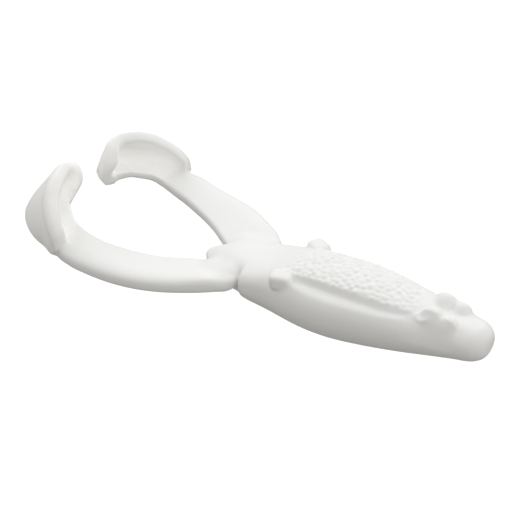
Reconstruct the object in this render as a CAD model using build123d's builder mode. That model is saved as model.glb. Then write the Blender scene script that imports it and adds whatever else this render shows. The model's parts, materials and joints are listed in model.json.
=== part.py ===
from build123d import *
import os

# Soft-plastic toad lure: a plump trunk with a flat nose, two strap-like legs
# that bow out behind it, and a curled scoop foot on each leg.
# Millimetres.  Origin: centre of the flat nose face.  +X out of the nose,
# +Y to the toad's left, +Z up.  The left limb is modelled, the right mirrored.

# ---------------------------------------------------------------- trunk sizes
# elliptical cross-sections, tail to nose: x, half width, half height, centre z
TRUNK = [
    (-67.9, 1.30, 0.84, -6.23),
    (-64.6, 3.75, 2.60, -6.32),
    (-60.1, 5.58, 4.28, -6.23),
    (-52.6, 7.15, 6.05, -5.70),
    (-44.3, 8.56, 7.16, -4.28),
    (-34.5, 9.50, 8.02, -3.60),
    (-23.8, 8.84, 7.44, -2.14),
    (-13.5, 6.80, 5.75, -1.25),
    (-5.5, 5.00, 4.30, -0.32),
    (-1.0, 3.95, 3.50, 0.00),
]
NOSE_FACE = (0.0, 3.00, 2.80, 0.00)  # same columns as TRUNK

# domes on the left side: centre, radius
DOMES = [
    ((-11.0, 4.3, 1.9), 2.6),   # eye
    ((-7.3, 4.2, 1.4), 2.0),    # brow, ahead of the eye
    ((-42.1, 7.3, -0.4), 2.2),  # point guard, aft of the channel
]

# hook-point channel along the left flank, aft to fore: x, y, z
CHANNEL = [(-38.4, 8.9, 1.6), (-31.0, 9.0, 1.8), (-22.0, 8.0, 2.3), (-15.0, 6.6, 2.5)]
CHANNEL_RADIUS = 1.6

# ------------------------------------------------------- strap and joint sizes
STRAP_BOTTOM = -9.4             # the hip, leg and heel share this underside
STRAP_TOP = -5.7
STRAP_THICKNESS = STRAP_TOP - STRAP_BOTTOM
STRAP_MID_Z = (STRAP_BOTTOM + STRAP_TOP) / 2

KICK_X = -72.0                  # cross-wise flex axis between hip and leg
ANKLE_X = -89.4                 # cross-wise flex axis between leg and foot
KNUCKLE_RADIUS = STRAP_THICKNESS / 2
SOCKET_CLEARANCE = 0.10         # radial gap round each knuckle
SOCKET_RADIUS = KNUCKLE_RADIUS + SOCKET_CLEARANCE

# y range of each knuckle, and of the longer cut that makes its socket
KICK_KNUCKLE_Y = (7.9, 19.3)
KICK_SOCKET_Y = (0.0, 25.0)
ANKLE_KNUCKLE_Y = (13.6, 21.6)
ANKLE_SOCKET_Y = (8.0, 28.0)

# pocket under the rump, clearing the hip
POCKET_CENTRE = (-61.75, 8.35)
POCKET_SIZE = (16.5, 14.0)
POCKET_BOTTOM = STRAP_BOTTOM - 5.0
POCKET_TOP = STRAP_TOP + 0.3

# ------------------------------------------------------------ hip and leg sizes
HIP_PIVOT = (-57.0, 4.8)        # vertical flex axis of the hip: x, y
HIP_PIVOT_RADIUS = 3.3
# plan outline of the hip: x, y, out to the kick axis and back
HIP_PLAN = [
    (-59.0, 2.2), (-55.3, 7.3), (-57.6, 11.2), (-60.6, 13.9), (-65.7, 17.0),
    (KICK_X, KICK_KNUCKLE_Y[1]), (KICK_X, KICK_KNUCKLE_Y[0]), (-67.9, 5.6), (-64.5, 4.2),
]

# plan curves of the leg strap, front to back: x, y
LEG_INNER = [(KICK_X, 7.6), (-76.0, 9.5), (-80.4, 11.2), (-85.2, 12.6), (ANKLE_X, 13.3)]
LEG_OUTER = [(KICK_X, 19.6), (-75.0, 20.3), (-79.6, 21.0), (-84.3, 21.7), (ANKLE_X, 22.0)]
LEG_EDGE_RADIUS = 1.2

# ----------------------------------------------------------- foot and toe sizes
# the scoop is an L-shaped band, from the ankle round to the toe; each row is
# one section: end of the floor, outer bottom corner, top of the wall
SCOOP = [
    ((-90.5, 13.6, -5.6), (-94.5, 20.6, -8.3), (-91.2, 21.4, -4.6)),
    ((-93.5, 13.4, -4.6), (-99.1, 19.6, -8.0), (-93.6, 20.8, -1.2)),
    ((-95.5, 12.8, -3.9), (-102.9, 18.9, -7.4), (-95.7, 19.2, 1.1)),
    ((-98.1, 11.3, -3.5), (-107.1, 17.2, -6.8), (-97.7, 17.2, 3.1)),
    ((-100.1, 10.2, -3.2), (-110.3, 14.9, -6.2), (-99.1, 15.2, 4.5)),
    ((-101.5, 9.4, -3.2), (-112.0, 12.5, -5.8), (-100.6, 12.6, 5.6)),
    ((-102.4, 9.2, -3.5), (-112.1, 10.4, -5.6), (-101.8, 10.2, 5.8)),
]
SCOOP_THICKNESS = 2.0

# plan outline of the heel: x, y
HEEL_PLAN = [
    (ANKLE_X, 13.5), (ANKLE_X, 21.8), (-92.0, 21.5),
    (-95.0, 20.6), (-97.0, 17.0), (-93.5, 13.6),
]
HEEL_HEIGHT = STRAP_THICKNESS - 0.2

# curled toe, from the foot's edge to the free end: rim point, base point.
# It flexes on the leaning line (-101.9, 9.9, 5.8) to (-112.0, 10.1, -5.6).
TOE = [
    ((-101.9, 9.2, 5.7), (-112.0, 9.4, -5.5)),
    ((-102.0, 7.4, 5.3), (-110.2, 8.1, -5.2)),
    ((-101.5, 5.9, 4.6), (-107.6, 7.1, -5.0)),
    ((-100.3, 5.3, 3.9), (-105.2, 6.6, -4.7)),
]
TOE_THICKNESS = 2.0


# --------------------------------------------------------------------- helpers
def cross_axis_plane(x, y):
    """Plane facing +Y, centred on the strap's mid height."""
    return Plane(origin=(x, y, STRAP_MID_Z), x_dir=(1, 0, 0), z_dir=(0, 1, 0))


def span(y_range):
    return y_range[1] - y_range[0]


def scoop_section(lip, base, rim):
    """Plane of one scoop section and the L's corners in it.

    The plane's origin is the base point and its x axis runs to the lip.
    """
    lip, base, rim = Vector(*lip), Vector(*base), Vector(*rim)
    floor_dir = (lip - base).normalized()
    normal = floor_dir.cross(rim - base).normalized()
    plane = Plane(origin=base, x_dir=floor_dir, z_dir=normal)

    floor_length = (lip - base).length
    top = plane.to_local_coords(rim)
    wall_dir = Vector(top.X, top.Y).normalized()
    # unit step across the wall, towards the lip
    across_x, across_y = wall_dir.Y, -wall_dir.X
    if across_x < 0:
        across_x, across_y = -across_x, -across_y

    def wall_meets_floor(offset, y):
        """Where the wall face at this offset crosses the floor face at y."""
        start_x, start_y = across_x * offset, across_y * offset
        along = (y - start_y) / wall_dir.Y
        return (start_x + wall_dir.X * along, y)

    half = SCOOP_THICKNESS / 2
    return plane, [
        (floor_length, -half),
        wall_meets_floor(-half, -half),
        (top.X - across_x * half, top.Y - across_y * half),
        (top.X + across_x * half, top.Y + across_y * half),
        wall_meets_floor(half, half),
        (floor_length, half),
    ]


# ---------------------------------------------------------------------- pieces
def build_trunk():
    with BuildPart() as trunk:
        # the body, then the rounded-off lip of the flat nose face
        for stations in (TRUNK, [TRUNK[-1], NOSE_FACE]):
            for x, half_width, half_height, z in stations:
                with BuildSketch(Plane(origin=(x, 0, z), x_dir=(0, 1, 0), z_dir=(1, 0, 0))):
                    Ellipse(half_width, half_height)
            loft()
        for side in (1, -1):
            for (x, y, z), radius in DOMES:
                with Locations((x, side * y, z)):
                    Sphere(radius)
        for side in (1, -1):
            with BuildLine() as channel:
                Spline(*[(x, side * y, z) for x, y, z in CHANNEL])
            with BuildSketch(Plane(origin=channel.line @ 0, z_dir=channel.line % 0)):
                Circle(CHANNEL_RADIUS)
            sweep(path=channel.line, mode=Mode.SUBTRACT)
        # pockets where the hips flex
        with BuildSketch(Plane.XY.offset(POCKET_BOTTOM)):
            x, y = POCKET_CENTRE
            with Locations((x, y), (x, -y)):
                Rectangle(*POCKET_SIZE)
        extrude(amount=POCKET_TOP - POCKET_BOTTOM, mode=Mode.SUBTRACT)
    return trunk.part


def build_left_hip():
    with BuildPart() as hip:
        with BuildSketch(Plane.XY.offset(STRAP_BOTTOM)):
            with Locations(HIP_PIVOT):
                Circle(HIP_PIVOT_RADIUS)
            with BuildLine():
                Polyline(*HIP_PLAN, close=True)
            make_face()
        extrude(amount=STRAP_THICKNESS)
        # knuckle the leg kicks on
        with BuildSketch(cross_axis_plane(KICK_X, KICK_KNUCKLE_Y[0])):
            Circle(KNUCKLE_RADIUS)
        extrude(amount=span(KICK_KNUCKLE_Y))
    return hip.part


def build_left_leg():
    with BuildPart() as leg:
        with BuildSketch(Plane.XY.offset(STRAP_BOTTOM)):
            with BuildLine():
                inner = Spline(*LEG_INNER)
                outer = Spline(*LEG_OUTER)
                Line(inner @ 0, outer @ 0)
                Line(inner @ 1, outer @ 1)
            make_face()
        extrude(amount=STRAP_THICKNESS)
        # the outer side's long edges
        outer_edges = leg.edges().filter_by(GeomType.BSPLINE).group_by(Axis.Y)[-1]
        fillet(outer_edges, radius=LEG_EDGE_RADIUS)
        # socket for the hip's knuckle
        with BuildSketch(cross_axis_plane(KICK_X, KICK_SOCKET_Y[0])):
            Circle(SOCKET_RADIUS)
        extrude(amount=span(KICK_SOCKET_Y), mode=Mode.SUBTRACT)
        # knuckle the foot turns on
        with BuildSketch(cross_axis_plane(ANKLE_X, ANKLE_KNUCKLE_Y[0])):
            Circle(KNUCKLE_RADIUS)
        extrude(amount=span(ANKLE_KNUCKLE_Y))
    return leg.part


def build_left_foot():
    with BuildPart() as foot:
        for lip, base, rim in SCOOP:
            plane, corners = scoop_section(lip, base, rim)
            with BuildSketch(plane):
                with BuildLine():
                    Polyline(*corners, close=True)
                make_face()
        loft()
        # heel that joins the scoop to the ankle
        with BuildSketch(Plane.XY.offset(STRAP_BOTTOM)):
            with BuildLine():
                Polyline(*HEEL_PLAN, close=True)
            make_face()
        extrude(amount=HEEL_HEIGHT)
        # socket for the leg's knuckle
        with BuildSketch(cross_axis_plane(ANKLE_X, ANKLE_SOCKET_Y[0])):
            Circle(SOCKET_RADIUS)
        extrude(amount=span(ANKLE_SOCKET_Y), mode=Mode.SUBTRACT)
    return foot.part


def build_left_toe():
    rims = [Vector(*rim) for rim, _ in TOE]
    bases = [Vector(*base) for _, base in TOE]
    with BuildPart() as toe:
        for i, (rim, base) in enumerate(zip(rims, bases)):
            # run of the toe here, from the neighbouring sections
            before, after = max(i - 1, 0), min(i + 1, len(TOE) - 1)
            ahead = ((rims[after] + bases[after]) - (rims[before] + bases[before])).normalized()
            up = (rim - base).normalized()
            across = up.cross(ahead).normalized()
            with BuildSketch(Plane(origin=(rim + base) / 2, x_dir=up, z_dir=up.cross(across))):
                Rectangle((rim - base).length, TOE_THICKNESS)
        loft()
    return toe.part


def mirrored(left_part):
    with BuildPart() as right:
        mirror(left_part, about=Plane.XZ)
    return right.part


# ---------------------------------------------------------------------- export
def export(part, name):
    part.label = name
    export_step(part, f"parts/{name}.step")


os.makedirs("parts", exist_ok=True)
export(build_trunk(), "trunk")
for name, build_left in (
    ("hip", build_left_hip),
    ("leg", build_left_leg),
    ("foot", build_left_foot),
    ("toe", build_left_toe),
):
    left = build_left()
    export(left, f"left_{name}")
    export(mirrored(left), f"right_{name}")
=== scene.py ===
"""Soft-plastic toad lure with two kicking legs, each ending in a scooped foot.

The CAD frame gives the length, the joint axes and the bodies. The skin is sculpted as one
moulding in design millimetres and then divided where the CAD model flexes.
Design frame: nose face at x = 0, tail towards -x, left side at +y, z up.
"""
import json
import math
import bpy
import bmesh
import numpy as np
from mathutils import Matrix, Vector


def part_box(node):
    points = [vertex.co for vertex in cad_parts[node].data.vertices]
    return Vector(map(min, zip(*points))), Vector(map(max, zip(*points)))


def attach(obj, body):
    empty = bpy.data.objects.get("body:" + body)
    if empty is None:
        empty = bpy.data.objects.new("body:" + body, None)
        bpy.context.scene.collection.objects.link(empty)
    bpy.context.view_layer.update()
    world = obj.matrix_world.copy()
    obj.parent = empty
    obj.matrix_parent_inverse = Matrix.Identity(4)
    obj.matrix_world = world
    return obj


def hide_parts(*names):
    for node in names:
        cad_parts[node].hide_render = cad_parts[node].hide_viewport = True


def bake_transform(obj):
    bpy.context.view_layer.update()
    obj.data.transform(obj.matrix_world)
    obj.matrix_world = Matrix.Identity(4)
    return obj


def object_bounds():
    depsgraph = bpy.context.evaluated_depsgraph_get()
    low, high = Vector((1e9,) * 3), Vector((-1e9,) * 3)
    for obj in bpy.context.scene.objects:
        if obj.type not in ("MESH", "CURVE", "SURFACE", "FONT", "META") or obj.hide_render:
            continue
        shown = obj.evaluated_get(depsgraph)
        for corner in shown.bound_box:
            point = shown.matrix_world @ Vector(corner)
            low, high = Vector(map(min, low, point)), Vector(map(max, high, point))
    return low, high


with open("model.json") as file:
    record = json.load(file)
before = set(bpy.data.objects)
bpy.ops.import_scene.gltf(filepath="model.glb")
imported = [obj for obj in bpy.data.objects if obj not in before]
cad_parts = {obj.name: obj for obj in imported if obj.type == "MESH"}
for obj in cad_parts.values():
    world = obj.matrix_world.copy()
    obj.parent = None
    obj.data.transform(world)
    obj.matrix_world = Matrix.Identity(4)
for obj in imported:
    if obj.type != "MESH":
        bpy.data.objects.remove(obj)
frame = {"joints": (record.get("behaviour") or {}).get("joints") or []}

DESIGN_LENGTH = 115.05                     # overall length in design mm
FULL_VOXEL, QUICK_VOXEL = 0.27, 0.34       # skin resolution, mm
VOXEL = FULL_VOXEL
REACH = (FULL_VOXEL / VOXEL) ** 2          # relaxing reaches further on a coarse skin

CAD_LOW, CAD_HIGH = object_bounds()
MM = (CAD_HIGH.x - CAD_LOW.x) / DESIGN_LENGTH   # metres per design millimetre
NOSE_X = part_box("trunk")[1].x
JOINTS = {joint["name"]: joint for joint in frame["joints"]}
SIDES = (("left", 1), ("right", -1))       # name, sign of y


def world_mm(x, y, z):
    """A design point in world metres."""
    return (NOSE_X + x * MM, y * MM, z * MM)


# ---------------------------------------------------------------- curves
def smoothstep(zero_at, one_at, x):
    t = np.clip((x - zero_at) / (one_at - zero_at), 0, 1)
    return t * t * (3 - 2 * t)


def hermite(knots, rows, at):
    """Smooth curve through rows (one per knot), read at the given places."""
    at = np.asarray(at, float)
    slope = np.gradient(rows, knots, axis=0)
    i = np.clip(np.searchsorted(knots, at, side="right") - 1, 0, len(knots) - 2)
    step = (knots[i + 1] - knots[i])[:, None]
    s = np.clip((at - knots[i])[:, None] / step, 0, 1)
    return ((2 * s**3 - 3 * s**2 + 1) * rows[i] + (s**3 - 2 * s**2 + s) * step * slope[i]
            + (-2 * s**3 + 3 * s**2) * rows[i + 1] + (s**3 - s**2) * step * slope[i + 1])


def smooth_rail(rows, count):
    """Samples rows evenly by chord length, measured on the first three columns."""
    chords = np.linalg.norm(np.diff(rows[:, :3], axis=0), axis=1)
    along = np.r_[0, np.cumsum(chords)]
    return hermite(along, rows, np.linspace(0, along[-1], count))


def rounded(corners, radii, arc=7, edge=6):
    """Polygon with Bezier-rounded corners; radii are (before, after) each corner."""
    corners = np.asarray(corners, float)
    count = len(corners)
    starts, ends, outline = [], [], []
    for i, (before, after) in enumerate(radii):
        corner = corners[i]
        back, ahead = corners[i - 1] - corner, corners[(i + 1) % count] - corner
        back_length, ahead_length = np.linalg.norm(back), np.linalg.norm(ahead)
        starts.append(corner + back / back_length * min(before, back_length * 0.48))
        ends.append(corner + ahead / ahead_length * min(after, ahead_length * 0.48))
    for i in range(count):
        for t in np.linspace(0, 1, arc):
            outline.append((1 - t) ** 2 * starts[i] + 2 * t * (1 - t) * corners[i]
                           + t * t * ends[i])
        for t in np.linspace(0, 1, edge + 2)[1:-1]:
            outline.append(ends[i] * (1 - t) + starts[(i + 1) % count] * t)
    return np.array(outline)


def on_side(ring, sign):
    """A left-side ring, mirrored in y for the right side with its winding kept."""
    ring[:, 1] *= sign
    return ring if sign > 0 else ring[::-1]


# ---------------------------------------------------------------- solids
class Shell:
    """Collects closed surfaces that together fill the moulding."""

    def __init__(self):
        self.verts, self.faces, self.count = [], [], 0

    def loft(self, rings):
        """rings (k, m, 3), closed loops; both ends are capped."""
        rings = np.asarray(rings, float)
        k, m, _ = rings.shape
        first, last = k * m, k * m + 1     # centre vertices of the two caps
        faces = []
        for a in range(k - 1):
            for b in range(m):
                c = (b + 1) % m
                faces.append([a * m + b, a * m + c, (a + 1) * m + c, (a + 1) * m + b])
        for b in range(m):
            c = (b + 1) % m
            faces.append([first, c, b])
            faces.append([last, (k - 1) * m + b, (k - 1) * m + c])
        self.verts.append(np.vstack([rings.reshape(-1, 3), rings[0].mean(0), rings[-1].mean(0)]))
        self.faces += [[i + self.count for i in face] for face in faces]
        self.count += k * m + 2

    def ovoid(self, centre, radii, power, tilt, around=36):
        """Rounded bump turned about z; power above 2 squares it off."""
        polar = np.linspace(0.001, math.pi - 0.001, around // 2 + 1)
        turn = np.linspace(0, 2 * math.pi, around, endpoint=False)
        t, p = np.meshgrid(polar, turn, indexing="ij")
        ray = np.stack([np.sin(t) * np.cos(p), np.sin(t) * np.sin(p), np.cos(t)], -1)
        reach = (np.abs(ray) ** power).sum(-1) ** (-1.0 / power)
        x, y, z = np.moveaxis(ray * reach[..., None] * np.asarray(radii, float), -1, 0)
        c, s = math.cos(tilt), math.sin(tilt)
        self.loft(np.stack([x * c - y * s, x * s + y * c, z], -1) + np.asarray(centre, float))


# ---------------------------------------------------------------- trunk
# x, half width, half height, centre height, squareness of the back
TRUNK = np.array([
    (-66.9, 1.15, 0.80, -6.70, 2.0), (-66.0, 2.05, 1.40, -6.62, 2.1),
    (-63.8, 3.55, 2.50, -6.45, 2.3), (-60.1, 5.40, 4.20, -6.25, 2.5),
    (-56.6, 6.20, 5.30, -6.02, 2.9), (-52.6, 7.05, 6.05, -5.70, 3.4),
    (-48.0, 7.85, 6.75, -5.05, 3.3), (-44.3, 8.56, 7.30, -4.50, 2.8),
    (-37.8, 9.28, 7.95, -3.95, 2.35), (-31.2, 9.62, 7.98, -3.16, 2.3),
    (-23.8, 8.84, 7.44, -2.20, 2.3), (-16.4, 7.44, 6.25, -1.50, 2.35),
    (-8.9, 5.67, 4.84, -0.74, 2.4), (-5.0, 4.85, 4.22, -0.25, 2.35),
    (-3.0, 4.42, 3.90, -0.08, 2.2), (-1.7, 3.92, 3.52, 0.0, 2.0),
    (-0.8, 3.30, 3.02, 0.0, 2.0), (-0.25, 2.70, 2.50, 0.0, 2.0),
    (0.0, 2.15, 2.00, 0.0, 2.0),
])
# side channel beside the back panel: x, panel edge y, crease y, ledge outer y, depth
CHANNEL = np.array([
    (-68.0, 5.4, 5.9, 7.6, 0.0), (-40.25, 5.4, 5.9, 7.6, 0.0), (-39.75, 5.4, 5.9, 7.6, 0.95),
    (-38.6, 5.45, 6.0, 7.7, 1.15), (-35.0, 5.55, 6.1, 8.4, 1.35), (-31.0, 5.6, 6.2, 8.8, 1.5),
    (-26.0, 5.45, 6.1, 8.5, 1.4), (-23.0, 5.2, 5.9, 7.9, 1.2), (-20.0, 4.9, 5.65, 7.1, 0.95),
    (-17.0, 4.4, 5.1, 6.2, 0.65), (-15.2, 4.1, 4.6, 5.6, 0.40), (-13.4, 3.9, 4.3, 5.2, 0.0),
    (0.0, 2.0, 2.3, 2.6, 0.0),
])
# ring stations: from x, to x, count; closer where the shape turns quickly
TRUNK_SPANS = ((-66.9, -54.0, 50), (-54.0, -52.0, 20), (-52.0, -41.0, 50),
               (-41.0, -39.0, 14), (-39.0, -3.0, 120))
NOSE_SPAN = (-3.0, 0.0, 16)
OBLIQUE = (0.66, 0.751)                    # y, z direction in which the outline is held


def trunk_ring(x):
    width, height, mid_z, power = hermite(TRUNK[:, 0], TRUNK[:, 1:], [x])[0]
    panel, crease, ledge, depth = (np.interp(x, CHANNEL[:, 0], column)
                                   for column in CHANNEL.T[1:])
    limit = 0.96 * width
    panel, crease, ledge = min(panel, limit * 0.66), min(crease, limit * 0.75), \
        min(ledge, limit * 0.92)

    # the squarer back keeps the outline it has from obliquely above
    across, above = OBLIQUE
    dual = power / (power - 1)
    reach = (across * width) ** 2 + (above * height) ** 2
    top = (reach ** (dual / 2) - (across * width) ** dual) ** (1 / dual) / above

    # upper quarter: panel, channel wall, ledge, then round to the side
    turn = np.linspace(0, math.pi / 2, 90)
    back_y, back_z = width * np.sin(turn) ** (2 / power), top * np.cos(turn) ** (2 / power)
    y = np.concatenate([
        np.linspace(0, panel, 18, endpoint=False),
        np.linspace(panel, crease, 9, endpoint=False),
        np.linspace(crease, ledge, 14, endpoint=False),
        ledge + (width - ledge) * np.sin(np.linspace(0, math.pi / 2, 16))])
    inner = np.clip((y - panel) / max(crease - panel, 1e-6), 0, 1)
    outer = np.clip((ledge - y) / max(ledge - crease, 1e-6), 0, 1)
    z = mid_z + np.interp(y, back_y, back_z) - depth * np.minimum(inner, outer ** 1.25)

    belly = np.linspace(math.pi / 2, math.pi, 34)[1:]
    y = np.concatenate([y, width * np.sin(belly)])
    z = np.concatenate([z, mid_z + height * np.cos(belly)])

    # the flank stands square ahead of the leg and is drawn in behind it
    level = np.clip((z - mid_z) / np.where(z > mid_z, top, height), -1, 1)
    flank = np.where(level > 0, 1 - level ** 6, (1 - level * level) ** 2)
    swell = 0.125 * smoothstep(-53.05, -52.55, x) * smoothstep(-44.5, -51.5, x) \
        - 0.13 * smoothstep(-57.5, -54.0, x) * smoothstep(-52.55, -53.05, x)
    y = y * (1 + swell * flank)
    y, z = np.r_[y, -y[1:-1][::-1]], np.r_[z, z[1:-1][::-1]]
    return np.column_stack([np.full(len(y), x), y, z])


def trunk_rings():
    spans = [np.linspace(start, end, count, endpoint=False) for start, end, count in TRUNK_SPANS]
    return [trunk_ring(x) for x in np.concatenate(spans + [np.linspace(*NOSE_SPAN)])]


# left-side bumps: centre, radii, squareness, tilt about z
BUMPS = (
    ((-10.8, 2.8, 3.1), (2.4, 2.3, 2.3), 2.0, 0.0),        # eye
    ((-7.6, 2.7, 2.9), (2.1, 2.0, 1.9), 2.0, 0.0),         # brow ahead of it
    ((-42.3, 6.75, 0.3), (2.3, 1.95, 1.65), 5.0, -0.35),   # squared nub behind the channel
    # the hip swells a little where it leaves the trunk
    ((-59.3, 5.4, -5.6), (4.7, 3.3, 2.2), 2.2, -0.40),
    ((-56.2, 5.7, -5.1), (3.0, 2.9, 2.5), 2.4, -0.6),
)

# ---------------------------------------------------------------- leg strap
# inner edge x, y, top z, bottom z  |  outer edge x, y, top z, bottom z
STRAP = np.array([
    (-55.4, -1.1, -5.7, -8.4, -54.1, 4.2, -3.9, -6.7),
    (-58.0, 0.1, -5.6, -8.4, -53.4, 7.3, -3.7, -6.6),
    (-60.0, 1.0, -5.5, -8.4, -53.9, 9.5, -3.6, -6.75),
    (-62.4, 2.3, -5.5, -8.3, -56.1, 11.4, -3.5, -6.95),
    (-65.4, 4.0, -5.6, -8.2, -60.0, 14.0, -3.7, -7.45),
    (-68.4, 5.7, -5.65, -8.1, -64.8, 16.8, -4.1, -7.85),
    (-72.0, 7.8, -5.8, -8.1, -70.0, 19.0, -4.5, -8.25),
    (-76.0, 9.6, -5.7, -8.0, -75.0, 20.3, -4.85, -8.6),
    (-80.4, 11.1, -5.45, -7.8, -79.6, 21.1, -5.0, -8.75),
    (-85.2, 12.4, -5.05, -7.4, -84.3, 21.8, -4.75, -8.5),
    (-89.3, 13.0, -4.45, -6.8, -88.2, 22.2, -4.4, -8.1),
    (-91.6, 13.2, -3.8, -6.2, -92.0, 21.8, -4.2, -7.9),
    (-93.5, 13.2, -3.0, -5.4, -97.0, 20.2, -4.2, -8.0),
    (-95.5, 12.8, -2.4, -4.5, -101.8, 18.9, -3.8, -7.8),
    (-98.1, 11.3, -2.1, -3.95, -105.7, 16.6, -3.3, -7.2),
    (-100.1, 10.0, -1.9, -3.75, -108.6, 14.3, -3.0, -6.7),
    (-101.5, 8.9, -2.1, -4.2, -110.2, 12.3, -2.9, -6.3),
    (-102.4, 8.2, -2.5, -4.6, -110.0, 10.5, -3.0, -6.2),
    (-103.1, 7.6, -3.2, -5.1, -108.2, 9.3, -3.2, -6.0),
    (-103.8, 7.0, -3.9, -5.7, -106.0, 7.8, -3.8, -5.8),
])
STRAP_RINGS = 170
LEG_FULLNESS = np.array([0, 0, 0, 0, 0, 0.12, 0.45, 0.15])   # added to a row along the leg


def strap_rings(sign):
    rings = []
    for row in smooth_rail(STRAP, STRAP_RINGS):
        leg = smoothstep(-97.5, -88.5, row[4])           # 1 along the leg, 0 in the scoop
        root = smoothstep(-64.0, -57.0, row[4])          # 1 at the trunk
        in_x, in_y, in_top, in_bottom, out_x, out_y, out_top, out_bottom = \
            row + LEG_FULLNESS * leg
        inner, outer = np.array([in_x, in_y, in_top]), np.array([out_x, out_y, out_top])
        ring = rounded(
            [inner, outer, (out_x, out_y, out_bottom), (in_x, in_y, in_bottom)],
            [(0.8, 0.8), (1.0 + 3.6 * leg - 2.5 * root * leg, 0.8 + 1.9 * leg - 0.5 * root),
             (1.5, 1.2), (0.8, 0.8)])
        # the leg's top is a little crowned, the scoop's floor is dished
        span = outer - inner
        across = np.clip((ring - inner) @ span / np.dot(span, span), 0, 1)
        ring[:, 2] += (0.22 * leg - 0.55 * (1 - leg)) * np.sin(math.pi * across)
        rings.append(on_side(ring, sign))
    return rings


# ---------------------------------------------------------------- scoop wall
# outer face of the wall, x, y, z, along its bottom and along its rim
WALL_BASE = np.array([
    (-93.3, 21.6, -7.0), (-95.6, 21.0, -7.9), (-99.1, 19.9, -7.9), (-102.9, 19.3, -7.5),
    (-107.1, 17.7, -6.9), (-110.7, 15.3, -6.3), (-112.9, 12.6, -5.9), (-112.7, 10.2, -5.8),
    (-110.6, 8.3, -5.9), (-107.8, 6.8, -6.0), (-105.4, 6.0, -6.1)])
WALL_RIM = np.array([
    (-90.7, 22.4, -3.4), (-91.5, 22.3, -1.2), (-93.1, 21.6, 1.1), (-95.1, 20.0, 3.3),
    (-97.1, 17.9, 5.3), (-98.4, 15.6, 6.8), (-99.9, 12.8, 7.8), (-101.3, 9.9, 8.1),
    (-101.9, 6.6, 7.75), (-100.9, 3.9, 6.9), (-99.4, 2.2, 5.6)])
SCOOP_MIDDLE = np.array([-101.0, 13.4, 1.0])
WALL_RINGS = 120
# half thickness of the wall by height, both as fractions of its height and in mm
WALL_LEVELS, WALL_HALF = [0, 0.3, 0.65, 0.88, 1], [1.05, 1.0, 1.15, 1.5, 1.5]
TOE_HALF = 1.6
RIM_DEPTH = 1.0                            # height of the rounded rim
RIM_POWER = 2.6                            # squareness of the rim


def wall_frame(count):
    """Base points, directions up the wall, wall heights and outward directions."""
    rails = smooth_rail(np.column_stack([WALL_BASE, WALL_RIM]), count)
    base, rim = rails[:, :3], rails[:, 3:]
    height = np.linalg.norm(rim - base, axis=1)
    up = (rim - base) / height[:, None]
    middle = (base + rim) / 2
    outward = np.cross(up, np.gradient(middle, axis=0))
    outward /= np.linalg.norm(outward, axis=1)[:, None]
    outward[np.einsum("ij,ij->i", outward, middle - SCOOP_MIDDLE) < 0] *= -1
    return base, up, height, outward


def wall_rings(sign):
    level = np.linspace(0, 1, 15)
    turn = np.linspace(0, math.pi, 13)[1:-1]
    squared = (np.abs(np.cos(turn)) ** RIM_POWER
               + np.abs(np.sin(turn)) ** RIM_POWER) ** (-1 / RIM_POWER)
    rings = []
    for i, (base, up, height, outward) in enumerate(zip(*wall_frame(WALL_RINGS))):
        s = i / (WALL_RINGS - 1)
        toe = smoothstep(0.84, 0.95, s)
        half = np.interp(level, WALL_LEVELS, WALL_HALF)
        half = half + (TOE_HALF - half) * toe
        end = min(1, s / 0.02, (1 - s) / 0.02)
        half = half * math.sqrt(max(0.3, 1 - (1 - end) ** 2))
        # the toe's free corner is rounded off, and so is the front of the wall
        corner = np.clip((s - 0.80) / 0.20, 0, 1)
        front = np.clip((0.10 - s) / 0.10, 0, 1)
        top = height * (1 - 0.50 * (1 - math.sqrt(1 - 0.995 * corner * corner))) \
            - 0.9 * front * front
        # the outer face runs through base and rim, a little fuller between them
        fullness = 0.85 * 4 * level * (1 - level) - half \
            + 0.35 * (1 - toe) * smoothstep(0.80, 0.88, level)
        centre = base + up * (level[:, None] * top) + outward * fullness[:, None]
        outer, inner = centre + outward * half[:, None], centre - outward * half[:, None]
        rim_cap = [centre[-1] + outward * half[-1] * r * math.cos(t)
                   + up * RIM_DEPTH * (r * math.sin(t) - 1) for t, r in zip(turn, squared)]
        base_cap = [centre[0] - outward * half[0] * math.cos(t)
                    - up * half[0] * 0.3 * math.sin(t) for t in turn]
        outer[-1] -= up * RIM_DEPTH
        inner[-1] -= up * RIM_DEPTH
        rings.append(on_side(np.vstack([outer, rim_cap, inner[::-1], base_cap]), sign))
    return rings


# ---------------------------------------------------------------- one skin
def fill_moulding():
    shell = Shell()
    shell.loft(trunk_rings())
    for _, sign in SIDES:
        for (x, y, z), radii, power, tilt in BUMPS:
            shell.ovoid((x, y * sign, z), radii, power, tilt * sign)
    for _, sign in SIDES:
        shell.loft(strap_rings(sign))
        shell.loft(wall_rings(sign))
    return shell


def remeshed(shell):
    """Fuses the overlapping solids into one even skin."""
    mesh = bpy.data.meshes.new("raw_moulding")
    mesh.from_pydata([tuple(v) for v in np.vstack(shell.verts)], [], shell.faces)
    mesh.update()
    raw = bpy.data.objects.new("raw_moulding", mesh)
    bpy.context.scene.collection.objects.link(raw)
    bm = bmesh.new()
    bm.from_mesh(mesh)
    bmesh.ops.recalc_face_normals(bm, faces=bm.faces)
    bm.to_mesh(mesh)
    bm.free()
    remesh = raw.modifiers.new("skin", "REMESH")
    remesh.mode = "VOXEL"
    remesh.voxel_size = VOXEL
    remesh.adaptivity = 0.0
    bpy.context.view_layer.update()
    evaluated = raw.evaluated_get(bpy.context.evaluated_depsgraph_get())
    fused = bpy.data.meshes.new_from_object(evaluated)
    bpy.data.objects.remove(raw)
    return fused


def read_vectors(items, field):
    flat = np.empty(len(items) * 3)
    items.foreach_get(field, flat)
    return flat.reshape(-1, 3)


def place(mesh, points):
    mesh.vertices.foreach_set("co", points.ravel())
    mesh.update()


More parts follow.
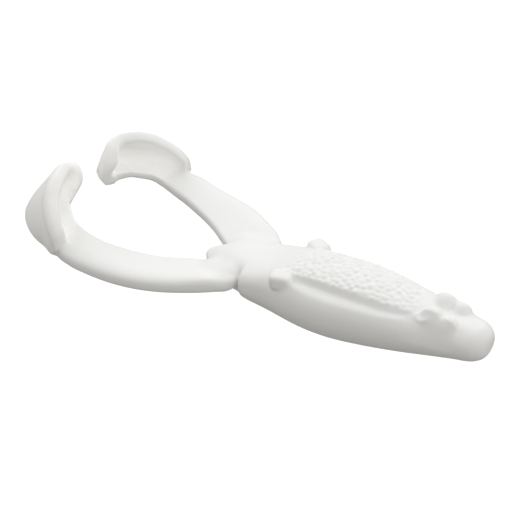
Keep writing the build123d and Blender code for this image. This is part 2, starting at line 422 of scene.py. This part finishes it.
def neighbour_sum(points, edges):
    a, b = edges.T
    count = len(points)
    return np.column_stack([np.bincount(a, points[b, k], count)
                            + np.bincount(b, points[a, k], count) for k in range(3)])


class Relaxer:
    """Laplacian smoothing over the edges of one mesh."""

    def __init__(self, mesh):
        edges = np.empty(len(mesh.edges) * 2, np.int64)
        mesh.edges.foreach_get("vertices", edges)
        self.edges = edges.reshape(-1, 2)
        self.degree = np.bincount(edges, minlength=len(mesh.vertices)).astype(float)[:, None]

    def everywhere(self, points, rounds, amount, push_back=0.0):
        """A negative push_back after each round keeps the volume."""
        for _ in range(rounds):
            for step in (amount, push_back):
                if step:
                    mean = neighbour_sum(points, self.edges) / self.degree
                    points = points + step * (mean - points)
        return points

    def region(self, points, weight, full_rounds, amount=0.5):
        """A weight per vertex keeps the work to that region."""
        chosen = weight > 1e-3
        edges = self.edges[chosen[self.edges].any(axis=1)]
        used = np.unique(edges)
        new_index = np.full(len(points), -1)
        new_index[used] = np.arange(len(used))
        edges, moved, degree = new_index[edges], points[used].copy(), self.degree[used]
        pull = (amount * weight[used] * chosen[used])[:, None] / degree
        for _ in range(round(full_rounds * REACH)):
            moved = moved + pull * (neighbour_sum(moved, edges) - degree * moved)
        points = points.copy()
        points[used] = moved
        return points


def distance_to_path(path, points):
    best = np.full(len(points), 1e9)
    for a, b in zip(path[:-1], path[1:]):
        d = b - a
        t = np.clip((points - a) @ d / (d @ d), 0, 1)
        best = np.minimum(best, np.linalg.norm(points - a - t[:, None] * d, axis=1))
    return best


def facing_scoop(mesh, points, folded):
    """How far each vertex faces the middle of its scoop."""
    place(mesh, points)
    normals = read_vectors(mesh.vertex_normals, "vector")
    normals[:, 1] *= np.where(points[:, 1] < 0, -1, 1)
    inward = SCOOP_MIDDLE - folded
    distance = np.maximum(np.linalg.norm(inward, axis=1), 1e-6)
    return np.einsum("ij,ij->i", normals, inward) / distance


# line between trunk and hip in plan, on the left side
HIP_POINT = np.array([-65.0, 3.7])
HIP_NORMAL = np.array([-0.38, 0.925])
# scoop corner line, measured from the base of the wall
CORNER_INWARD, CORNER_UP = 2.2, 2.6


def soften(mesh, relaxer, points):
    """Smooths the whole skin lightly and chosen regions strongly."""
    x, y, z = points[:, 0], np.abs(points[:, 1]), points[:, 2]
    folded = np.column_stack([x, y, z])
    points = relaxer.everywhere(points, max(2, round(5 * REACH)), 0.5, push_back=-0.52)
    points = relaxer.everywhere(points, max(1, round(2 * REACH)), 0.4)

    # soft inside corner of the scoop
    base, up, _, outward = wall_frame(60)
    corner = base - outward * CORNER_INWARD + up * CORNER_UP
    facing = smoothstep(-0.2, 0.3, facing_scoop(mesh, points, folded))
    inside = smoothstep(4.4, 2.0, distance_to_path(corner, folded)) * facing
    points = relaxer.region(points, inside, 170)

    # the eye ridge runs softly down into the cheek
    cheek = smoothstep(-15.5, -13.5, x) * smoothstep(-4.5, -6.5, x) \
        * smoothstep(3.3, 4.3, y) * smoothstep(-1.2, 0.2, z)
    points = relaxer.region(points, cheek, 150)

    nose = smoothstep(-2.6, -0.8, x)
    points = relaxer.region(points, nose, 50)

    # the hip runs softly into the trunk on top and stays creased below
    from_hip = (folded[:, :2] - HIP_POINT) @ HIP_NORMAL
    hip_top = smoothstep(4.2, 1.4, np.abs(from_hip)) * smoothstep(-5.6, -4.4, z) \
        * smoothstep(-53.4, -56.0, x) * smoothstep(-69.5, -66.5, x)
    return relaxer.region(points, hip_top, 90)


# ---------------------------------------------------------------- warty back
WART_SEED, WART_COUNT, WART_TRIES = 7, 420, 9000
WART_RADIUS, WART_HEIGHT = 0.72, 0.36
WART_SPACING = 0.80                        # least gap, as a share of the two radii
WART_X, WART_Y = (-45.0, -14.0), (-6.3, 6.3)
# eye socket: centre x and y, half sizes in x and y, lid height, pit depth
SOCKET_X, SOCKET_Y, SOCKET_RX, SOCKET_RY = -12.2, 3.85, 1.45, 0.8
LID_HEIGHT, PIT_DEPTH = 0.22, 0.05


def panel_edge(x):
    return np.interp(x, CHANNEL[:, 0], CHANNEL[:, 1])


def scatter_warts():
    """Seeded dart throwing on the back panel: x, y, radius, relative height."""
    rng = np.random.default_rng(WART_SEED)
    warts = []
    for _ in range(WART_TRIES):
        x = rng.uniform(*WART_X)
        y = rng.uniform(*WART_Y)
        if abs(y) > panel_edge(x) + 0.15:
            continue
        radius = WART_RADIUS * rng.uniform(0.7, 1.25)
        if all((x - a) ** 2 + (y - b) ** 2 > (WART_SPACING * (radius + other)) ** 2
               for a, b, other, _ in warts):
            warts.append((x, y, radius, rng.uniform(0.5, 1.0)))
        if len(warts) >= WART_COUNT:
            break
    return warts


def wart_lift(points, normals):
    back = (points[:, 0] > -47) & (points[:, 0] < -12.5) & (normals[:, 2] > 0.35) \
        & (points[:, 2] > -1.5)
    x, y = points[back, 0], points[back, 1]
    height = np.zeros(len(x))
    for wart_x, wart_y, radius, tall in scatter_warts():
        box = radius * 1.1
        near = np.nonzero((np.abs(x - wart_x) < box) & (np.abs(y - wart_y) < box))[0]
        d2 = ((x[near] - wart_x) ** 2 + (y[near] - wart_y) ** 2) / (radius * radius)
        height[near] = np.maximum(height[near], tall * np.clip(1 - d2, 0, 1) ** 0.8)
    fade = smoothstep(-46.0, -40.0, x) * smoothstep(-12.8, -17.5, x) \
        * smoothstep(0.25, -0.35, np.abs(y) - panel_edge(x))
    lift = np.zeros(len(points))
    lift[back] = WART_HEIGHT * height * fade
    return lift


def socket_lift(points, normals):
    """A shallow pit inside a raised lid, at the rear of each eye."""
    across_x = (points[:, 0] - SOCKET_X) / SOCKET_RX
    across_y = (np.abs(points[:, 1]) - SOCKET_Y) / SOCKET_RY
    d = np.hypot(across_x, across_y)
    lid = np.exp(-((d - 1.0) / 0.30) ** 2) * smoothstep(-0.9, 0.5, across_y - 0.9 * across_x)
    upper = (normals[:, 2] > 0.15) & (points[:, 2] > 0)
    return np.where(upper, LID_HEIGHT * lid - PIT_DEPTH * smoothstep(0.95, 0.2, d), 0)


def sculpt_skin():
    mesh = remeshed(fill_moulding())
    relaxer = Relaxer(mesh)
    points = soften(mesh, relaxer, read_vectors(mesh.vertices, "co"))
    place(mesh, points)
    normals = read_vectors(mesh.vertex_normals, "vector")
    lift = wart_lift(points, normals) + socket_lift(points, normals)
    points = points + normals * lift[:, None]
    place(mesh, relaxer.everywhere(points, 1, 0.22))
    return mesh


# ---------------------------------------------------------------- divide it
# x where the skin of each region ends
HIP_SEAM_X, LEG_SEAM_X, FOOT_SEAM_X = -67.9, -80.0, -92.6


def cut(bm, wanted, point, normal):
    """Splits the faces whose centres are wanted along a plane."""
    faces = [f for f in bm.faces if wanted(f.calc_center_median())]
    geom = faces + list({v for f in faces for v in f.verts}) \
        + list({e for f in faces for e in f.edges})
    bmesh.ops.bisect_plane(bm, geom=geom, dist=0.02, plane_co=point, plane_no=normal)


def cut_seams(mesh):
    bm = bmesh.new()
    bm.from_mesh(mesh)
    for _, sign in SIDES:
        cut(bm, lambda c: c.x < -50 and c.y * sign > 0,
            (HIP_POINT[0], HIP_POINT[1] * sign, 0), (HIP_NORMAL[0], HIP_NORMAL[1] * sign, 0))
    for x in (HIP_SEAM_X, LEG_SEAM_X, FOOT_SEAM_X):
        cut(bm, lambda c: abs(c.x - x) < 2, (x, 0, 0), (1, 0, 0))
    bm.to_mesh(mesh)
    bm.free()
    mesh.update()


def face_regions(centres):
    """0 trunk, then 1 to 4 down each leg: hip, leg, ankle, foot."""
    x, y = centres[:, 0], np.abs(centres[:, 1])
    beyond_hip = (x - HIP_POINT[0]) * HIP_NORMAL[0] + (y - HIP_POINT[1]) * HIP_NORMAL[1] > 0
    return np.where(~(beyond_hip & (x < -50)), 0, np.where(x > HIP_SEAM_X, 1, np.where(
        x > LEG_SEAM_X, 2, np.where(x > FOOT_SEAM_X, 3, 4))))


def painted_wall_glow(points, normals):
    """Painted glow on the scoop walls, standing in for light let through them; strongest on the
    inner faces.
    """
    x, y = points[:, 0], np.abs(points[:, 1])
    folded = np.column_stack([x, y, points[:, 2]])
    folded_normals = normals * np.column_stack(
        [np.ones(len(x)), np.sign(points[:, 1]), np.ones(len(x))])
    inward = SCOOP_MIDDLE + np.array([3.0, 0.0, 3.0]) - folded
    inward /= np.linalg.norm(inward, axis=1)[:, None]
    glow = smoothstep(-0.35, 0.55, np.einsum("ij,ij->i", folded_normals, inward)) \
        * smoothstep(-90.5, -96.0, x)
    glow = np.maximum(glow, 0.35 * smoothstep(-91.0, -97.0, x))
    # extra painted glow where the scoop turns in towards the middle
    return glow + 0.75 * smoothstep(9.0, 6.0, y) * smoothstep(-96.0, -99.0, x)


skin = sculpt_skin()
cut_seams(skin)
POINTS = read_vectors(skin.vertices, "co")
NORMALS = read_vectors(skin.vertex_normals, "vector")
CENTRES = read_vectors(skin.polygons, "center")
FACES = [tuple(p.vertices) for p in skin.polygons]
REGION = face_regions(CENTRES)
# painted glow per vertex, used as an emission strength in the material
PAINTED_GLOW = painted_wall_glow(POINTS, NORMALS)


def close_seams(mesh, skin_faces):
    """Caps the open ends and makes their edges sharp."""
    bm = bmesh.new()
    bm.from_mesh(mesh)
    rim = [e for e in bm.edges if e.is_boundary]
    if rim:
        caps = bmesh.ops.holes_fill(bm, edges=rim, sides=0)["faces"]
        bmesh.ops.triangulate(bm, faces=caps, ngon_method="EAR_CLIP")
        bm.faces.index_update()
        for e in bm.edges:
            is_cap = [f.index >= skin_faces for f in e.link_faces]
            if len(is_cap) == 2 and is_cap[0] != is_cap[1]:
                e.smooth = False
    bm.to_mesh(mesh)
    bm.free()


def piece(name, mask):
    """A closed piece of the skin, with the whole moulding's normals."""
    ids = np.nonzero(mask)[0]
    used = np.unique(np.concatenate([FACES[i] for i in ids]))
    new_index = np.full(len(POINTS), -1)
    new_index[used] = np.arange(len(used))
    mesh = bpy.data.meshes.new(name)
    mesh.from_pydata([tuple(v) for v in POINTS[used]], [],
                     [[int(new_index[v]) for v in FACES[i]] for i in ids])
    close_seams(mesh, len(ids))
    mesh.polygons.foreach_set("use_smooth", [True] * len(mesh.polygons))
    mesh.update()
    loops = np.empty(len(mesh.loops), np.int64)
    mesh.loops.foreach_get("vertex_index", loops)
    loop_normals = NORMALS[used][loops]
    for cap in list(mesh.polygons)[len(ids):]:
        for i in cap.loop_indices:
            loop_normals[i] = cap.normal
    mesh.normals_split_custom_set([tuple(v) for v in loop_normals])
    mesh.transform(Matrix.Translation((NOSE_X, 0, 0)) @ Matrix.Scale(MM, 4))
    # the painted glow goes with each piece as a vertex attribute
    painted_glow_attr = mesh.attributes.new("painted_wall_glow", "FLOAT", "POINT")
    painted_glow_attr.data.foreach_set("value", PAINTED_GLOW[used].astype(np.float32))
    ob = bpy.data.objects.new(name, mesh)
    bpy.context.scene.collection.objects.link(ob)
    return ob


# ---------------------------------------------------------------- material
def empty_tree(owner):
    owner.use_nodes = True
    owner.node_tree.nodes.clear()
    return owner.node_tree


def add_node(tree, kind, inputs=None, **settings):
    node = tree.nodes.new(kind)
    for name, value in settings.items():
        setattr(node, name, value)
    for key, value in (inputs or {}).items():
        node.inputs[key].default_value = value
    return node


def soft_plastic():
    mat = bpy.data.materials.new("soft_white_plastisol")
    tree = empty_tree(mat)
    link = tree.links.new
    out = add_node(tree, "ShaderNodeOutputMaterial")
    # the emission colour is the tint of the painted glow on the scoop walls
    bsdf = add_node(tree, "ShaderNodeBsdfPrincipled", {
        "IOR": 1.45, "Specular IOR Level": 0.35, "Emission Color": (1.0, 0.99, 0.97, 1)})
    geometry = add_node(tree, "ShaderNodeNewGeometry")
    # very faint cloudiness of the poured plastic
    cloud = add_node(tree, "ShaderNodeTexNoise", {"Scale": 90.0, "Detail": 3.0})
    link(geometry.outputs["Position"], cloud.inputs["Vector"])
    tint = add_node(tree, "ShaderNodeMix", {
        "A": (0.905, 0.905, 0.893, 1), "B": (0.925, 0.925, 0.912, 1)}, data_type="RGBA")
    link(cloud.outputs["Fac"], tint.inputs["Factor"])
    link(tint.outputs["Result"], bsdf.inputs["Base Color"])
    # satin skin: roughness wanders a little
    rough = add_node(tree, "ShaderNodeMapRange", {"To Min": 0.40, "To Max": 0.52})
    link(cloud.outputs["Fac"], rough.inputs["Value"])
    link(rough.outputs["Result"], bsdf.inputs["Roughness"])
    # fine orange-peel of the mould face
    peel = add_node(tree, "ShaderNodeTexNoise", {"Scale": 1400.0, "Detail": 2.0})
    link(geometry.outputs["Position"], peel.inputs["Vector"])
    bump = add_node(tree, "ShaderNodeBump", {"Strength": 0.12, "Distance": 0.00006})
    link(peel.outputs["Fac"], bump.inputs["Height"])
    link(bump.outputs["Normal"], bsdf.inputs["Normal"])
    # painted glow: emission on the scoop walls stands in for light carried through the thin
    # plastic
    painted_glow_share = 0.12
    painted_glow_attr = add_node(tree, "ShaderNodeAttribute", attribute_name="painted_wall_glow")
    painted_glow_strength = add_node(tree, "ShaderNodeMath", {1: painted_glow_share}, operation="MULTIPLY")
    link(painted_glow_attr.outputs["Fac"], painted_glow_strength.inputs[0])
    link(painted_glow_strength.outputs[0], bsdf.inputs["Emission Strength"])
    link(bsdf.outputs["BSDF"], out.inputs["Surface"])
    return mat


# ---------------------------------------------------------------- assemble
# where each bend starts and ends, design mm
HIP_BEND_OFFSET = (6.2, 2.55)              # from the hip point to the start, x and y
HIP_BEND_LENGTH, HIP_BEND_Z = 4.15, -7.5
KICK_REACH, FLAP_REACH = 3.7, 2.3          # either side of the joint, along x
CURL_BEFORE, CURL_AFTER = 2.2, 1.8         # outward and inward of the joint, along y


def bend_ranges(side, sign):
    """Start and end of the bend at the hip, leg, foot and toe."""
    x, y = HIP_POINT * [1, sign] + np.array([HIP_BEND_OFFSET[0], HIP_BEND_OFFSET[1] * sign])
    end_x = x + HIP_NORMAL[0] * HIP_BEND_LENGTH
    end_y = y + HIP_NORMAL[1] * HIP_BEND_LENGTH * sign
    ranges = [(world_mm(x, y, HIP_BEND_Z), world_mm(end_x, end_y, HIP_BEND_Z))]
    for joint, reach in (("leg_kick", KICK_REACH), ("foot_flap", FLAP_REACH)):
        joint_x = JOINTS[f"{side}_{joint}"]["pos_m"][0]
        ranges.append(((joint_x + reach * MM, 0, 0), (joint_x - reach * MM, 0, 0)))
    toe_y = JOINTS[f"{side}_toe_curl"]["pos_m"][1]
    ranges.append(((0, toe_y + CURL_BEFORE * MM * sign, 0),
                   (0, toe_y - CURL_AFTER * MM * sign, 0)))
    return ranges


def leg_skins(side, sign):
    chain = ["trunk"] + [f"{side}_{body}" for body in ("hip", "leg", "foot", "toe")]
    mine = CENTRES[:, 1] * sign > 0
    skins = []
    for i, (start, end) in enumerate(bend_ranges(side, sign)):
        label = ("hip", "leg", "ankle", "foot")[i]
        skins.append(piece(f"{side}_{label}_skin", (REGION == i + 1) & mine))
        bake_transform(skins[i])
    for ob, body in zip(skins, chain[1:]):
        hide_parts(body)
    return skins


plastic = soft_plastic()
trunk = piece("trunk_skin", REGION == 0)
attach(trunk, "trunk")
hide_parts("trunk")
parts = [trunk]
for side, sign in SIDES:
    parts += leg_skins(side, sign)
for ob in parts:
    ob.data.materials.append(plastic)
bpy.data.meshes.remove(skin)


# ---------------------------------------------------------------- stage
FLOOR_HALF = 3.0
FLOOR_DROP = 0.034                         # keeps the floor below the reach of the kicked legs


def floor_material():
    """White to the camera, a mid grey for bounced light."""
    mat = bpy.data.materials.new("pale_floor")
    tree = empty_tree(mat)
    link = tree.links.new
    out = add_node(tree, "ShaderNodeOutputMaterial")
    path = add_node(tree, "ShaderNodeLightPath")
    white = add_node(tree, "ShaderNodeEmission", {"Color": (1, 1, 1, 1), "Strength": 1.0})
    lit = add_node(tree, "ShaderNodeBsdfDiffuse", {"Color": (0.10, 0.10, 0.10, 1)})
    seen = add_node(tree, "ShaderNodeAddShader")
    bounce = add_node(tree, "ShaderNodeBsdfDiffuse", {"Color": (0.34, 0.326, 0.303, 1)})
    mix = add_node(tree, "ShaderNodeMixShader")
    link(white.outputs[0], seen.inputs[0])
    link(lit.outputs[0], seen.inputs[1])
    link(path.outputs["Is Camera Ray"], mix.inputs[0])
    link(bounce.outputs[0], mix.inputs[1])
    link(seen.outputs[0], mix.inputs[2])
    link(mix.outputs[0], out.inputs["Surface"])
    return mat


def add_floor(z):
    s = FLOOR_HALF
    mesh = bpy.data.meshes.new("floor")
    mesh.from_pydata([(-s, -s, z), (s, -s, z), (s, s, z), (-s, s, z)], [], [(0, 1, 2, 3)])
    floor = bpy.data.objects.new("floor", mesh)
    bpy.context.scene.collection.objects.link(floor)
    mesh.materials.append(floor_material())


def add_world():
    world = bpy.data.worlds.new("studio")
    tree = empty_tree(world)
    link = tree.links.new
    out = add_node(tree, "ShaderNodeOutputWorld")
    studio = add_node(tree, "ShaderNodeBackground", {"Color": (1.0, 0.995, 0.985, 1)})
    seen = add_node(tree, "ShaderNodeBackground", {"Color": (1, 1, 1, 1), "Strength": 1.02})
    mix = add_node(tree, "ShaderNodeMixShader")
    path = add_node(tree, "ShaderNodeLightPath")
    # the studio is a little darker on the camera's side, -y
    falloff, mean_strength = (-0.02, -0.07, 0.0), 0.64
    geometry = add_node(tree, "ShaderNodeNewGeometry")
    lean = add_node(tree, "ShaderNodeVectorMath", {1: falloff}, operation="DOT_PRODUCT")
    strength = add_node(tree, "ShaderNodeMath", {1: mean_strength}, operation="ADD")
    link(geometry.outputs["Incoming"], lean.inputs[0])
    link(lean.outputs["Value"], strength.inputs[0])
    link(strength.outputs[0], studio.inputs["Strength"])
    link(path.outputs["Is Camera Ray"], mix.inputs[0])
    link(studio.outputs[0], mix.inputs[1])
    link(seen.outputs[0], mix.inputs[2])
    link(mix.outputs[0], out.inputs["Surface"])
    bpy.context.scene.world = world


# named as the camera sees them: x, y from the lure's middle, z, disk size (m), power (W)
PANELS = (
    ("left_panel", -0.79, 0.0, 0.50, 0.6, 1.6),
    ("back_left_panel", -0.54, 0.60, 0.50, 0.6, 1.0),
    ("back_panel", 0.0, 0.75, 0.55, 0.6, 1.1),
    ("right_panel", 0.81, 0.0, 0.50, 0.6, 1.15),
    ("top_panel", 0.0, 0.0, 0.80, 0.8, 0.35),
)


def add_panels(target):
    for name, x, y, z, size, power in PANELS:
        light = bpy.data.lights.new(name, "AREA")
        light.shape = "DISK"
        light.size = size
        light.energy = power
        ob = bpy.data.objects.new(name, light)
        bpy.context.scene.collection.objects.link(ob)
        ob.location = (target.x + x, y, z)
        ob.rotation_euler = (target - Vector(ob.location)).to_track_quat("-Z", "Y").to_euler()


CAMERA_AT = (42.23, -124.86, 106.76)       # design mm
CAMERA_DOWN, CAMERA_TURN = math.radians(34.99), math.radians(37.24)


def add_camera():
    data = bpy.data.cameras.new("camera")
    data.sensor_width = 36.0
    data.lens = 62.307692
    data.clip_start = 0.005
    data.clip_end = 20
    camera = bpy.data.objects.new("camera", data)
    bpy.context.scene.collection.objects.link(camera)
    level = math.cos(CAMERA_DOWN)
    forward = Vector((-math.sin(CAMERA_TURN) * level, math.cos(CAMERA_TURN) * level,
                      -math.sin(CAMERA_DOWN)))
    right = Vector((math.cos(CAMERA_TURN), math.sin(CAMERA_TURN), 0))
    rotation = Matrix((right, right.cross(forward), -forward)).transposed()
    camera.matrix_world = Matrix.Translation(Vector(world_mm(*CAMERA_AT))) @ rotation.to_4x4()
    bpy.context.scene.camera = camera


low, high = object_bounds()
add_floor(low.z - FLOOR_DROP)
add_world()
add_panels((low + high) / 2)
add_camera()

view = bpy.context.scene.view_settings
view.view_transform = "Standard"
view.look = "None"
view.exposure = 0.0
view.gamma = 1.0
